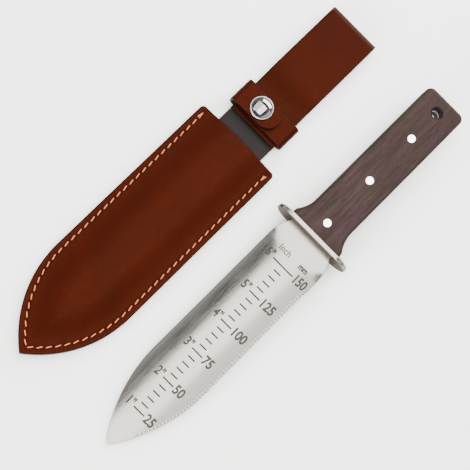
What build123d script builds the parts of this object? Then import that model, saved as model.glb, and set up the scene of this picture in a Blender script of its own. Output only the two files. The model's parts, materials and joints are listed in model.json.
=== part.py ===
"""Hori hori digging knife with its leather belt sheath, laid side by side.

All sizes are in millimetres, +Z is up and the tools point towards -X. The origin is at the
middle of the set's footprint, on the surface that it lies on. The knife is drawn level in its
own frame, with x = 0 at the blade side of the guard and z = 0 at the middle of the steel, and
is then laid down on its guard and the tip of its blade. The sheath is drawn where it lies,
with its mouth at x = mouth_x.
"""
from build123d import *
import os
from math import atan2, cos, degrees, radians, sin, sqrt, tan

# Blade and tang: one piece of steel
blade_length = 178.0
blade_width = 42.6
steel = 2.5
point_length = 62.0
neck_width = 34.5
shoulder_length = 16.0
tang_width = 30.4
trough_depth = 4.0
trough_full_at = 22.0
trough_flat_at = 6.0
bevel = 1.6
tooth_pitch = 2.3
tooth_depth = 0.6
teeth_from_tip = 14.0
teeth_to_guard = 27.0

# Ruled scale, engraved in the hollow face
scale_zero_from_tip = 3.2
scale_first = 25.0
scale_step = 5.0
scale_long_step = 25.0
mark_lengths = {"short": 5.7, "long": 9.0, "last": 17.0}
mark_width = 0.5
mark_depth = 0.2

# Guard
guard_width = 58.0
guard_height = 23.0
guard_thickness = 3.0
guard_edge_round = 0.8
slot_clearance = 0.1
guard_hole_radius = 0.9
guard_hole_spacing = 40.8
guard_hole_depth = 1.5

# Handle scales, pins and lanyard hole
handle_length = 120.5
handle_thickness = 20.5
flare_width = 40.6
flare_end = 17.0
flare_lip = 3.5
butt_corner_radius = 4.5
scale_edge_round = 2.6
pin_radius = 2.6
pin_fit = 0.02
front_pin_from_guard = 10.0
rear_pin_from_lanyard = 23.6
pin_proud = 0.15
lanyard_radius = 3.3
lanyard_countersink = 0.9
lanyard_from_butt = 10.7

# Sheath pocket
leather = 2.2
tip_room = 12.0
side_room = 2.45
pocket_point = 63.0
mouth_corner_radius = 3.0
welt_width = 8.0
welt_thickness = 3.5
bulge_rise = 3.5
bulge_taper = 65.0
thread_inset = 4.2
thread_width = 0.9
thread_height = 0.5
stitch_length = 3.7
stitch_pitch = 5.6
thread_from_mouth = 4.0
groove_room = 0.2

# Belt loop
loop_width = 37.3
loop_reach = 108.6
loop_gap = 6.4
loop_drop_from = 56.0
loop_drop_to = 37.0
loop_end_at = 12.0

# Retaining strap, wrapped round the lower end of the loop
strap_leather = 2.0
strap_from_mouth = 14.5
strap_height = 17.7
strap_room = 0.25
wing_past_snap = 8.0
flap_length = 33.2
flap_gap = 0.4
part_gap = 0.3

# Snap fastener and loop rivets
snap_from_fold = 18.4
cap_radius = 7.8
cap_height = 2.8
cap_rim = 0.7
socket_radius = 5.0
socket_height = 2.0
socket_sunk = 1.0
socket_bore = 2.6
stud_radius = 2.1
stud_flange_radius = 4.5
stud_flange = 0.6
stud_height = 1.7
stud_wall = 0.45
shank_radius = 1.5
shank_fit = 0.05
rivet_radius = 3.75
rivet_head = 0.6
rivet_edge = 5.65
rivet_room = 0.4

# How the two lie beside each other
axes_apart = 75.6

# Values worked out from the sizes above
butt_x = guard_thickness + handle_length
rear_pin = handle_length - lanyard_from_butt - rear_pin_from_lanyard
pin_places = {"front": front_pin_from_guard, "middle": (front_pin_from_guard + rear_pin) / 2,
              "rear": rear_pin}
scale_room = blade_length - scale_zero_from_tip - trough_full_at
scale_last = scale_room // scale_long_step * scale_long_step
pocket_length = blade_length + tip_room
pocket_width = blade_width + 2 * (welt_width + side_room)
trough_radius = ((blade_width / 2) ** 2 + trough_depth**2) / (2 * trough_depth)
rest_angle = degrees(atan2(guard_height / 2 - steel / 2, blade_length))
tilt = radians(rest_angle)
knife_reach = butt_x * cos(tilt) + (handle_thickness / 2 - scale_edge_round) * sin(tilt)
tip_reach = blade_length * cos(tilt) - steel / 2 * sin(tilt)
sheath_reach = pocket_length + loop_reach
low_x = min(-(tip_reach + knife_reach) / 2, -sheath_reach / 2)
guard_x = low_x + tip_reach + (-2 * low_x - tip_reach - knife_reach) / 2
mouth_x = low_x + pocket_length + (-2 * low_x - sheath_reach) / 2
span_y = guard_width / 2 + axes_apart + pocket_width / 2
knife_y = -span_y / 2 + guard_width / 2
sheath_y = knife_y + axes_apart
guard_z = guard_height / 2 * cos(tilt)
groove_width = thread_width + 2 * groove_room
groove_depth = thread_height + groove_room
laid = Location((guard_x, knife_y, guard_z), (0, -rest_angle, 0))

os.makedirs("parts", exist_ok=True)


def save(piece, label):
    """Name a finished piece and write it."""
    piece.part.label = label
    export_step(piece.part, f"parts/{label}.step")


def ogive_radius(width, point):
    """Radius of the sides of a pointed outline that meet its parallel edges smoothly."""
    return (point**2 + (width / 2) ** 2) / width


def trough_section(depth, top=0.0, bottom=-steel):
    """Cross-section of the blade stock, dished by depth across the blade's full width."""
    half = blade_width / 2 + 1
    rise = depth * (half / (blade_width / 2)) ** 2
    high, low = steel / 2 + top, steel / 2 + bottom
    with BuildSketch() as section:
        with BuildLine():
            face = ThreePointArc((-half, high + rise), (0, high), (half, high + rise))
            back = ThreePointArc((-half, low + rise), (0, low), (half, low + rise))
            Line(face @ 0, back @ 0)
            Line(face @ 1, back @ 1)
        make_face()
    return section.sketch


def blade_side():
    """The plain side of the blade's outline, from the guard to the tip."""
    full, neck = blade_width / 2, neck_width / 2
    with BuildLine() as outline:
        straight = Line((-shoulder_length, full), (point_length - blade_length, full))
        TangentArc(straight @ 0, (0, neck), tangent=(1, 0))
        TangentArc(straight @ 1, (-blade_length, 0), tangent=(-1, 0))
    return outline.line


def blade_edge():
    """The same side without its shoulder, from the shoulder to the tip, as one wire."""
    full = blade_width / 2
    with BuildLine() as outline:
        straight = Line((-shoulder_length, full), (point_length - blade_length, full))
        TangentArc(straight @ 1, (-blade_length, 0), tangent=(-1, 0))
    return outline.wires()[0]


def pocket_outline(inset, past_mouth=0.0):
    """Face inside the pocket's outline by inset, running past the mouth by past_mouth."""
    half = pocket_width / 2
    radius = ogive_radius(pocket_width, pocket_point)
    shoulder_x = mouth_x - pocket_length + pocket_point
    tip_x = shoulder_x - sqrt((radius - inset) ** 2 - (radius - half) ** 2)
    end_x = mouth_x + past_mouth
    with BuildSketch() as outline:
        with BuildLine():
            for side in (1, -1):
                edge_y = sheath_y + side * (half - inset)
                run = Line((end_x, edge_y), (shoulder_x, edge_y))
                TangentArc(run @ 1, (tip_x, sheath_y), tangent=(-1, 0))
            Line((end_x, sheath_y - half + inset), (end_x, sheath_y + half - inset))
        make_face()
    return outline.sketch


def stitch_line():
    """Half of the seam, from beside the mouth to the tip, on the sheath's +Y side."""
    half = pocket_width / 2 - thread_inset
    radius = ogive_radius(pocket_width, pocket_point)
    shoulder_x = mouth_x - pocket_length + pocket_point
    reach = sqrt((radius - thread_inset) ** 2 - (radius - pocket_width / 2) ** 2)
    with BuildLine() as seam:
        run = Line((mouth_x - thread_from_mouth, half), (shoulder_x, half))
        TangentArc(run @ 1, (shoulder_x - reach, 0), tangent=(-1, 0))
    return seam.wires()[0]


def stitch_places():
    """Middle and direction of every stitch, evenly spaced down both sides."""
    seam = stitch_line()
    count = round(seam.length / stitch_pitch)
    places = []
    for number in range(count):
        along = (number + 0.5) / count
        spot, heading = seam.position_at(along), seam.tangent_at(along)
        turn = degrees(atan2(heading.Y, heading.X))
        for side in (1, -1):
            spot_y = sheath_y + side * spot.Y
            places.append(Location((spot.X, spot_y, 0), (0, 0, side * turn)))
    return places


# ---------------------------------------------------------------- blade with its full tang
mark_count = round((scale_last - scale_first) / scale_step) + 1
marks_per_long = round(scale_long_step / scale_step)
handle_half = handle_thickness / 2

with BuildSketch() as handle_outline:
    with BuildLine():
        for side in (1, -1):
            lip = (guard_thickness + flare_lip, side * (flare_width / 2 - 0.5))
            straight_start = (guard_thickness + flare_end, side * tang_width / 2)
            front = Line((guard_thickness, side * flare_width / 2), lip)
            TangentArc(straight_start, lip, tangent=(-1, 0))
            Line(straight_start, (butt_x, side * tang_width / 2))
        Line((guard_thickness, -flare_width / 2), (guard_thickness, flare_width / 2))
        Line((butt_x, -tang_width / 2), (butt_x, tang_width / 2))
    make_face()
    butt_corners = handle_outline.vertices().group_by(Axis.X)[-1]
    fillet(butt_corners, butt_corner_radius)

with BuildPart() as scale_marks:
    with BuildSketch(Plane.YZ.offset(-blade_length)):
        add(trough_section(trough_depth, top=1.0, bottom=-mark_depth))
    extrude(amount=blade_length - trough_full_at)
    with BuildSketch():
        for number in range(mark_count):
            mark_x = scale_zero_from_tip + scale_first + number * scale_step - blade_length
            kind = "short" if number % marks_per_long else "long"
            kind = "last" if number == mark_count - 1 else kind
            with Locations((mark_x, 0)):
                Rectangle(mark_width, mark_lengths[kind])
    extrude(amount=blade_width, both=True, mode=Mode.INTERSECT)

with BuildPart() as blade:
    with BuildSketch(Plane.YZ.offset(-blade_length)):
        add(trough_section(trough_depth))
    extrude(amount=blade_length - trough_full_at)
    fade_steps = 4
    for step in range(fade_steps + 1):
        share = step / fade_steps
        fade_x = -trough_full_at + share * (trough_full_at - trough_flat_at)
        fade = max(1 - share**2 * (3 - 2 * share), 0.005)
        with BuildSketch(Plane.YZ.offset(fade_x)):
            add(trough_section(trough_depth * fade))
    loft()
    with BuildSketch(Plane.XY.offset(-steel / 2)):
        with Locations((-trough_flat_at / 2, 0)):
            Rectangle(trough_flat_at, blade_width)
    extrude(amount=steel)
    with BuildSketch(Plane.XY.offset(-blade_width)):
        with BuildLine():
            add(blade_side())
            mirror(about=Plane.XZ)
            Line((0, -neck_width / 2), (0, neck_width / 2))
        make_face()
    extrude(amount=2 * blade_width, mode=Mode.INTERSECT)
    walls = blade.faces().filter_by(lambda face: abs(face.normal_at().Z) < 0.01)
    sharpened = walls.filter_by(lambda face: face.center().X < -shoulder_length)
    chamfer([wall.edges().sort_by(Axis.Z)[0] for wall in sharpened], bevel)
    with BuildSketch(Plane.XY.offset(-steel / 2)):
        add(handle_outline.sketch)
        with Locations((butt_x / 2, 0)):
            Rectangle(butt_x * 2, tang_width, mode=Mode.INTERSECT)
        with Locations((guard_thickness / 2, 0)):
            Rectangle(guard_thickness, tang_width)
    extrude(amount=steel)
    add(scale_marks.part, mode=Mode.SUBTRACT)
    with BuildSketch(Plane.XY.offset(-blade_width)):
        edge = blade_edge()
        first, last = teeth_to_guard - shoulder_length, edge.length - teeth_from_tip
        count = round((last - first) / tooth_pitch)
        gullet_radius = (tooth_depth**2 + (tooth_pitch / 2) ** 2) / (2 * tooth_depth)
        for number in range(count + 1):
            along = (first + number * (last - first) / count) / edge.length
            spot, heading = edge.position_at(along), edge.tangent_at(along)
            outward = Vector(heading.Y, -heading.X) * (gullet_radius - tooth_depth)
            with Locations((spot.X + outward.X, -(spot.Y + outward.Y))):
                Circle(gullet_radius)
    extrude(amount=2 * blade_width, mode=Mode.SUBTRACT)
    with Locations(*[(guard_thickness + x, 0) for x in pin_places.values()]):
        Hole(pin_radius + pin_fit)
    with Locations((butt_x - lanyard_from_butt, 0)):
        Hole(lanyard_radius)
blade.part.locate(laid)
save(blade, "blade")

# ---------------------------------------------------------------- guard
with BuildPart() as guard:
    with BuildSketch(Plane.YZ):
        SlotOverall(guard_width, guard_height)
    extrude(amount=guard_thickness)
    fillet(guard.edges().filter_by(Plane.YZ), guard_edge_round)
    with BuildSketch(Plane.YZ):
        Rectangle(tang_width + 2 * slot_clearance, steel + 2 * slot_clearance)
    extrude(amount=guard_thickness, mode=Mode.SUBTRACT)
    with BuildSketch(Plane.YZ):
        with GridLocations(guard_hole_spacing, 1, 2, 1):
            Circle(guard_hole_radius)
    extrude(amount=guard_hole_depth, mode=Mode.SUBTRACT)
guard.part.locate(laid)
save(guard, "guard")

# ---------------------------------------------------------------- handle scales
with BuildPart() as handle_scale:
    with BuildSketch():
        add(handle_outline.sketch)
    extrude(amount=handle_half)
    outer_edges = handle_scale.faces().sort_by(Axis.Z)[-1].edges()
    front_edge = outer_edges.sort_by(Axis.X)[0]
    fillet([edge for edge in outer_edges if edge != front_edge], scale_edge_round)
    with BuildSketch():
        with Locations((butt_x, 0)):
            Rectangle(2 * butt_x, tang_width)
    extrude(amount=steel / 2, mode=Mode.SUBTRACT)
    with BuildSketch():
        with Locations(*[(guard_thickness + x, 0) for x in pin_places.values()]):
            Circle(pin_radius + pin_fit)
        with Locations((butt_x - lanyard_from_butt, 0)):
            Circle(lanyard_radius)
    extrude(amount=handle_half, mode=Mode.SUBTRACT)
    rim = handle_scale.edges().filter_by(GeomType.CIRCLE).group_by(Axis.Z)[-1]
    chamfer(rim.filter_by(lambda edge: edge.center().X > butt_x - 2 * lanyard_from_butt
                          and edge.radius < 2 * lanyard_radius), lanyard_countersink)

with BuildPart() as handle_scale_top:
    add(handle_scale.part)
with BuildPart() as handle_scale_bottom:
    mirror(handle_scale.part, about=Plane.XY)
for piece, label in ((handle_scale_top, "handle_scale_top"),
                     (handle_scale_bottom, "handle_scale_bottom")):
    piece.part.locate(laid)
    save(piece, label)

# ---------------------------------------------------------------- handle pins
for place, pin_x in pin_places.items():
    with BuildPart() as handle_pin:
        with BuildSketch(Plane.XY.offset(-handle_half - pin_proud)):
            with Locations((guard_thickness + pin_x, 0)):
                Circle(pin_radius)
        extrude(amount=handle_thickness + 2 * pin_proud)
        chamfer(handle_pin.edges().filter_by(GeomType.CIRCLE), pin_proud)
    handle_pin.part.locate(laid)
    save(handle_pin, f"handle_pin_{place}")

# ---------------------------------------------------------------- sheath levels
pocket_top = leather + welt_thickness
strap_back_z = leather
loop_end_z = strap_back_z + strap_leather
rivet_cap_z = loop_end_z + leather
wing_z = rivet_cap_z + rivet_head + rivet_room
stud_z = wing_z + strap_leather
socket_z = stud_z + stud_flange + part_gap
flap_z = socket_z + socket_height - socket_sunk
cap_z = flap_z + strap_leather
strap_x = mouth_x + strap_from_mouth
strap_mid_x = strap_x + strap_height / 2
half_strap = strap_leather / 2
bend_radius = (wing_z - strap_back_z) / 2
bend_y = loop_width / 2 + strap_room
strap_width = 2 * (bend_y + bend_radius + half_strap)
snap_y = strap_width / 2 - snap_from_fold
hinge_y = strap_width / 2 + part_gap
hinge_z = (wing_z + strap_leather + flap_z) / 2 - flap_gap / 2
rivet_y = loop_width / 2 - rivet_edge
rivet_spots = [(strap_mid_x, sheath_y + side * rivet_y) for side in (1, -1)]

# ---------------------------------------------------------------- back panel and belt loop
fold_mid = (loop_gap + leather) / 2
fold_x = loop_reach - fold_mid - leather / 2
loop_side = Plane((mouth_x, sheath_y + loop_width / 2, 0), x_dir=(1, 0, 0), z_dir=(0, -1, 0))

with BuildPart() as back_panel:
    with BuildSketch():
        add(pocket_outline(0))
    extrude(amount=leather)
    fillet(back_panel.edges().filter_by(Axis.Z).group_by(Axis.X)[-1], mouth_corner_radius)
    with BuildSketch(loop_side):
        with BuildLine():
            tongue = Line((-mouth_corner_radius * 2, leather / 2), (fold_x, leather / 2))
            fold = TangentArc(tongue @ 1, (fold_x, leather / 2 + 2 * fold_mid), tangent=(1, 0))
            leg = Line(fold @ 1, (loop_drop_from, leather / 2 + 2 * fold_mid))
            end_start = (loop_drop_to, loop_end_z + leather / 2)
            drop = Spline(leg @ 1, end_start, tangents=[(-1, 0), (-1, 0)])
            Line(drop @ 1, (loop_end_at, loop_end_z + leather / 2))
        trace(line_width=leather)
    extrude(amount=loop_width)
    with BuildSketch():
        with Locations(*rivet_spots):
            Circle(shank_radius + shank_fit)
    extrude(amount=pocket_top * 2, mode=Mode.SUBTRACT)
    with BuildSketch():
        with Locations(*rivet_spots):
            Circle(rivet_radius + shank_fit)
    extrude(amount=rivet_head, mode=Mode.SUBTRACT)
    with BuildSketch():
        add(pocket_outline(thread_inset - groove_width / 2))
        add(pocket_outline(thread_inset + groove_width / 2, past_mouth=1), mode=Mode.SUBTRACT)
        with Locations((mouth_x, sheath_y)):
            Rectangle(2 * thread_from_mouth, pocket_width, mode=Mode.SUBTRACT)
    extrude(amount=groove_depth, mode=Mode.SUBTRACT)
save(back_panel, "back_panel")

# ---------------------------------------------------------------- welt and front panel
with BuildPart() as welt:
    with BuildSketch(Plane.XY.offset(leather)) as welt_outline:
        add(pocket_outline(0))
        fillet(welt_outline.vertices().group_by(Axis.X)[-1], mouth_corner_radius)
        add(pocket_outline(welt_width, past_mouth=1), mode=Mode.SUBTRACT)
    extrude(amount=welt_thickness)
save(welt, "welt")

# The front panel lies flat on the welt and swells over the blade between its two sides.
slope = radians(bulge_taper)
outer_inset = welt_width - leather * (1 / cos(slope) - tan(slope))
with BuildPart() as front_panel:
    with BuildSketch(Plane.XY.offset(pocket_top)):
        add(pocket_outline(0))
    extrude(amount=leather)
    fillet(front_panel.edges().filter_by(Axis.Z).group_by(Axis.X)[-1], mouth_corner_radius)
    with BuildSketch(Plane.XY.offset(pocket_top + leather)):
        add(pocket_outline(outer_inset, past_mouth=pocket_width))
    extrude(amount=bulge_rise, taper=bulge_taper)
    with BuildSketch(Plane.XY.offset(pocket_top)):
        add(pocket_outline(welt_width, past_mouth=pocket_width))
    extrude(amount=bulge_rise, taper=bulge_taper, mode=Mode.SUBTRACT)
    split(bisect_by=Plane.YZ.offset(mouth_x), keep=Keep.BOTTOM)
save(front_panel, "front_panel")

# ---------------------------------------------------------------- sewing thread
for label, level in (("seam_stitches_front", pocket_top + leather),
                     ("seam_stitches_back", groove_depth - thread_height)):
    with BuildPart() as seam_stitches:
        with BuildSketch(Plane.XY.offset(level)):
            with Locations(*stitch_places()):
                SlotOverall(stitch_length, thread_width)
        extrude(amount=thread_height)
    save(seam_stitches, label)

# ---------------------------------------------------------------- retaining strap
# The flap is the strap's left wing with the upper part of its fold. It turns about an axis
# just outside the fold, at the height where the two parts meet.
wing_end = snap_y + wing_past_snap
flap_end = strap_width / 2 - flap_length
fold_y = bend_y + bend_radius
curl_radius = flap_z + half_strap - hinge_z - flap_gap
strap_side = Plane((strap_x, sheath_y, 0), x_dir=(0, 1, 0), z_dir=(1, 0, 0))
with BuildPart() as strap:
    with BuildSketch(strap_side):
        with BuildLine():
            wing = Line((wing_end, wing_z + half_strap), (-bend_y, wing_z + half_strap))
            fold = TangentArc(wing @ 1, (-bend_y, strap_back_z + half_strap), tangent=(-1, 0))
            FilletPolyline(fold @ 1, (fold_y, strap_back_z + half_strap),
                           (fold_y, hinge_z - flap_gap / 2), radius=bend_radius)
        trace(line_width=strap_leather)
    extrude(amount=strap_height)
    with BuildSketch():
        with Locations(*rivet_spots):
            Circle(shank_radius + shank_fit)
    extrude(amount=loop_end_z, mode=Mode.SUBTRACT)
    with BuildSketch(Plane.XY.offset(wing_z)):
        with Locations((strap_mid_x, sheath_y + snap_y)):
            Circle(shank_radius + shank_fit)
    extrude(amount=strap_leather, mode=Mode.SUBTRACT)
save(strap, "strap")

with BuildPart() as strap_flap:
    with BuildSketch(strap_side):
        with BuildLine():
            FilletPolyline((fold_y, hinge_z + flap_gap / 2), (fold_y, flap_z + half_strap),
                           (flap_end, flap_z + half_strap), radius=curl_radius)
        trace(line_width=strap_leather)
    extrude(amount=strap_height)
    end_corners = strap_flap.edges().filter_by(Axis.Z).group_by(Axis.Y)[0]
    fillet(end_corners, strap_height / 2 - part_gap)
    with BuildSketch(Plane.XY.offset(flap_z)):
        with Locations((strap_mid_x, sheath_y + snap_y)):
            Circle(shank_radius + shank_fit)
    extrude(amount=strap_leather, mode=Mode.SUBTRACT)
    with BuildSketch(Plane.XY.offset(flap_z)):
        with Locations((strap_mid_x, sheath_y + snap_y)):
            Circle(socket_radius + shank_fit)
    extrude(amount=socket_sunk, mode=Mode.SUBTRACT)
save(strap_flap, "strap_flap")

# ---------------------------------------------------------------- snap fastener
# Each of its four pieces is turned about the snap's own axis.
snap_axis = Plane((strap_mid_x, sheath_y + snap_y, 0), x_dir=(1, 0, 0), z_dir=(0, -1, 0))


def turned(points):
    """Half section of a turned piece, from pairs of radius and height."""
    with BuildSketch() as section:
        with BuildLine():
            Polyline(*points, close=True)
        make_face()
    return section.sketch


shank_hole = shank_radius + shank_fit
socket_roof = socket_z + socket_height - socket_sunk / 2
snap_pieces = {
    "snap_socket": [(shank_hole, socket_roof), (socket_bore, socket_roof),
                    (socket_bore, socket_z), (socket_radius, socket_z),
                    (socket_radius, socket_z + socket_height),
                    (shank_hole, socket_z + socket_height)],
    "snap_stud": [(shank_hole, stud_z), (stud_flange_radius, stud_z),
                  (stud_flange_radius, stud_z + stud_flange),
                  (stud_radius - stud_wall / 2, stud_z + stud_flange),
                  (stud_radius, stud_z + stud_height - stud_wall),
                  (stud_radius - stud_wall / 2, stud_z + stud_height),
                  (shank_hole, stud_z + stud_height)],
    "snap_post": [(0, wing_z - stud_flange), (stud_flange_radius, wing_z - stud_flange),
                  (stud_flange_radius, wing_z), (shank_radius, wing_z),
                  (shank_radius, stud_z + stud_height), (0, stud_z + stud_height)],
}
for label, points in snap_pieces.items():
    with BuildPart() as snap_piece:
        with BuildSketch(snap_axis):
            add(turned(points))
        revolve(axis=Axis((strap_mid_x, sheath_y + snap_y, 0), (0, 0, 1)))
    save(snap_piece, label)

dome_radius = (cap_radius**2 + (cap_height - cap_rim) ** 2) / (2 * (cap_height - cap_rim))
with BuildPart() as snap_cap:
    with BuildSketch(snap_axis):
        with BuildLine():
            base = Polyline((0, socket_roof), (shank_radius, socket_roof), (shank_radius, cap_z),
                            (cap_radius, cap_z), (cap_radius, cap_z + cap_rim))
            dome = RadiusArc(base @ 1, (0, cap_z + cap_height), -dome_radius)
            Line(dome @ 1, base @ 0)
        make_face()
    revolve(axis=Axis((strap_mid_x, sheath_y + snap_y, 0), (0, 0, 1)))
save(snap_cap, "snap_cap")

# ---------------------------------------------------------------- rivets through the loop
with BuildPart() as loop_rivet_posts:
    with BuildSketch():
        with Locations(*rivet_spots):
            Circle(rivet_radius)
    extrude(amount=rivet_head)
    with BuildSketch(Plane.XY.offset(rivet_head)):
        with Locations(*rivet_spots):
            Circle(shank_radius)
    extrude(amount=rivet_cap_z + rivet_head / 2 - rivet_head)
save(loop_rivet_posts, "loop_rivet_posts")

with BuildPart() as loop_rivet_caps:
    with BuildSketch(Plane.XY.offset(rivet_cap_z)):
        with Locations(*rivet_spots):
            Circle(rivet_radius)
    extrude(amount=rivet_head)
    with BuildSketch(Plane.XY.offset(rivet_cap_z)):
        with Locations(*rivet_spots):
            Circle(shank_hole)
    extrude(amount=rivet_head / 2, mode=Mode.SUBTRACT)
save(loop_rivet_caps, "loop_rivet_caps")
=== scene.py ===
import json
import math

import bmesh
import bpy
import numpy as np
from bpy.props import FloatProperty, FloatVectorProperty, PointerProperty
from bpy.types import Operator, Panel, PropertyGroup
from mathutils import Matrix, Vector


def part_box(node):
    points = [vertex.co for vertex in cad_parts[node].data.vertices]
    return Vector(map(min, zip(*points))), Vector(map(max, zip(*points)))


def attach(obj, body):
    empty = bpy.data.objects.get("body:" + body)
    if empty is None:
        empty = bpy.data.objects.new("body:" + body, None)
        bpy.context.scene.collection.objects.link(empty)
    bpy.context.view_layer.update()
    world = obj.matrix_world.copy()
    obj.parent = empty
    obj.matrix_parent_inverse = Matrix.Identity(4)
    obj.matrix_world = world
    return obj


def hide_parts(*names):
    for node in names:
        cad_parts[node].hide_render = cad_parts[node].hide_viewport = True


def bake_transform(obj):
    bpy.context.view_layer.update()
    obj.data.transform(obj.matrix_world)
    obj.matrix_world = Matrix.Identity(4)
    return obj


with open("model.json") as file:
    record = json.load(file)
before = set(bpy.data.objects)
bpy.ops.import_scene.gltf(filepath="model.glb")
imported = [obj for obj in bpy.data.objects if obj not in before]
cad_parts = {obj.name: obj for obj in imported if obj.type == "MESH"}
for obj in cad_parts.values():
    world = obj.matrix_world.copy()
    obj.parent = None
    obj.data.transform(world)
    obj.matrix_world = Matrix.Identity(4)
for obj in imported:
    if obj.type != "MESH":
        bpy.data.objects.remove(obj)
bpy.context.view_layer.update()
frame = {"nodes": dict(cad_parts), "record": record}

bl_info = {
    "name": "Hori Hori Knife and Sheath",
    "version": (1, 0, 0),
    "blender": (4, 5, 0),
    "location": "View3D > Sidebar > Hori Hori",
    "description": "Builds a digging knife with a ruled blade and its stitched leather sheath",
    "category": "Object",
}

MM = 0.001
SHARP_CUT = 28.0


# ------------------------------------------------------------------ places read from the frame
def box_of(node):
    """A node's lowest and highest corners."""
    low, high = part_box(node)
    return np.array(low), np.array(high)


MOUNTS = {mount["name"]: mount for mount in frame["record"]["mounts"]}
KNIFE_UP = Vector(MOUNTS["lanyard_hole"]["axis"]).normalized()
KNIFE_ALONG = Vector((KNIFE_UP.z, 0, -KNIFE_UP.x))
GUARD_LOW, GUARD_HIGH = box_of("guard")
GUARD_THICKNESS = 3.0 * MM
TANG_WIDTH = 30.4 * MM
PIN_PLACES = ("front", "middle", "rear")
KNIFE_ORIGIN = Vector((GUARD_LOW + GUARD_HIGH) / 2) - KNIFE_ALONG * GUARD_THICKNESS / 2
KNIFE_AXES = Matrix((KNIFE_ALONG, Vector((0, 1, 0)), KNIFE_UP)).transposed().to_4x4()
KNIFE_PLACE = Matrix.Translation(KNIFE_ORIGIN) @ KNIFE_AXES

FRONT_LOW, FRONT_HIGH = box_of("front_panel")
WELT_LOW, WELT_HIGH = box_of("welt")
BACK_LOW = box_of("back_panel")[0]
STRAP_LOW, STRAP_HIGH = box_of("strap")
FLAP_LOW, FLAP_HIGH = box_of("strap_flap")
CAP_LOW, CAP_HIGH = box_of("snap_cap")
MOUTH_X = FRONT_HIGH[0]
SHEATH_Y = (FRONT_LOW[1] + FRONT_HIGH[1]) / 2
POCKET_LENGTH = FRONT_HIGH[0] - FRONT_LOW[0]
POCKET_HALF = (FRONT_HIGH[1] - FRONT_LOW[1]) / 2
LEATHER = WELT_LOW[2] - BACK_LOW[2]
SNAP_CENTRE = (CAP_LOW + CAP_HIGH) / 2


# ------------------------------------------------------------------ settings
class BladeSettings(PropertyGroup):
    """Sizes and colours of the blade, guard and scale."""

    length: FloatProperty(name="Length", description="Guard to tip", default=0.178,
                          unit="LENGTH")
    width: FloatProperty(name="Width", description="Full width of the blade",
                         default=0.0426, unit="LENGTH")
    point: FloatProperty(name="Point", description="Length of the curved point",
                         default=0.062, unit="LENGTH")
    neck: FloatProperty(name="Neck", description="Width where the blade meets the guard",
                        default=0.0345, unit="LENGTH")
    shoulder: FloatProperty(name="Shoulder", description="Length of the rounded shoulders",
                            default=0.016, unit="LENGTH")
    steel: FloatProperty(name="Steel", description="Thickness of the stock",
                         default=0.0025, unit="LENGTH")
    trough: FloatProperty(name="Trough", description="Depth of the hollow face",
                          default=0.004, unit="LENGTH")
    tooth: FloatProperty(name="Tooth", description="Pitch of the serrated edge",
                         default=0.0023, unit="LENGTH")
    tooth_depth: FloatProperty(name="Tooth depth", description="Depth of the serrations",
                               default=0.0006, unit="LENGTH")
    colour: FloatVectorProperty(name="Steel colour", description="Brushed steel",
                                subtype="COLOR", default=(0.222, 0.210, 0.195))
    etched: FloatVectorProperty(name="Scale colour", description="Floor of the engraving",
                                subtype="COLOR", default=(0.019, 0.0155, 0.0135))


class HandleSettings(PropertyGroup):
    """Colours of the wood and the pins."""

    wood: FloatVectorProperty(name="Wood", description="Main colour of the wood",
                              subtype="COLOR", default=(0.0222, 0.0140, 0.0123))
    dark_grain: FloatVectorProperty(name="Dark grain", description="Pores and dark streaks",
                                    subtype="COLOR", default=(0.010, 0.006, 0.0055))
    pin: FloatVectorProperty(name="Pins", description="Colour of the bright pins",
                             subtype="COLOR", default=(0.97, 0.965, 0.95))


class SheathSettings(PropertyGroup):
    """Sizes and colours of the leather sheath."""

    point: FloatProperty(name="Point", description="Length of the pocket's curved point",
                         default=0.063, unit="LENGTH")
    seam: FloatProperty(name="Seam inset", description="Stitches to the cut edge",
                        default=0.0042, unit="LENGTH")
    pitch: FloatProperty(name="Stitch pitch", description="Distance between stitches",
                         default=0.0056, unit="LENGTH")
    grain: FloatVectorProperty(name="Leather", description="Grain side of the leather",
                               subtype="COLOR", default=(0.0172, 0.0014, 0.0004))
    burnished: FloatVectorProperty(name="Edges", description="Burnished cut edges",
                                   subtype="COLOR", default=(0.0065, 0.0028, 0.0022))
    flesh: FloatVectorProperty(name="Flesh side", description="Black inner side",
                               subtype="COLOR", default=(0.006, 0.004, 0.004))
    thread: FloatVectorProperty(name="Thread", description="Sewing thread",
                                subtype="COLOR", default=(0.40, 0.115, 0.03))


class StageSettings(PropertyGroup):
    """The camera's lens, aim and lean."""

    lens: FloatProperty(name="Lens", description="Focal length in millimetres", default=110.0)
    span: FloatProperty(name="Span", description="Width that the frame covers",
                        default=0.292, unit="LENGTH")
    turn: FloatProperty(name="Turn", description="Angle of the tools across the frame",
                        default=math.radians(44.7), unit="ROTATION")
    tilt: FloatProperty(name="Tilt", description="Lean of the camera towards the points",
                        default=math.radians(12.6), unit="ROTATION")
    shift_right: FloatProperty(name="Shift right", description="Aim moved along the frame",
                               default=0.0, unit="LENGTH")
    shift_up: FloatProperty(name="Shift up", description="Aim moved up the frame",
                            default=-0.006, unit="LENGTH")


# ------------------------------------------------------------------ mesh helpers
def add_object(name, data):
    """An object in the scene that holds the data."""
    made = bpy.data.objects.new(name, data)
    bpy.context.scene.collection.objects.link(made)
    return made


def mesh_from(made, name):
    """A new mesh from an edit mesh, which is freed."""
    mesh = bpy.data.meshes.new(name)
    made.to_mesh(mesh)
    made.free()
    return mesh


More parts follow.
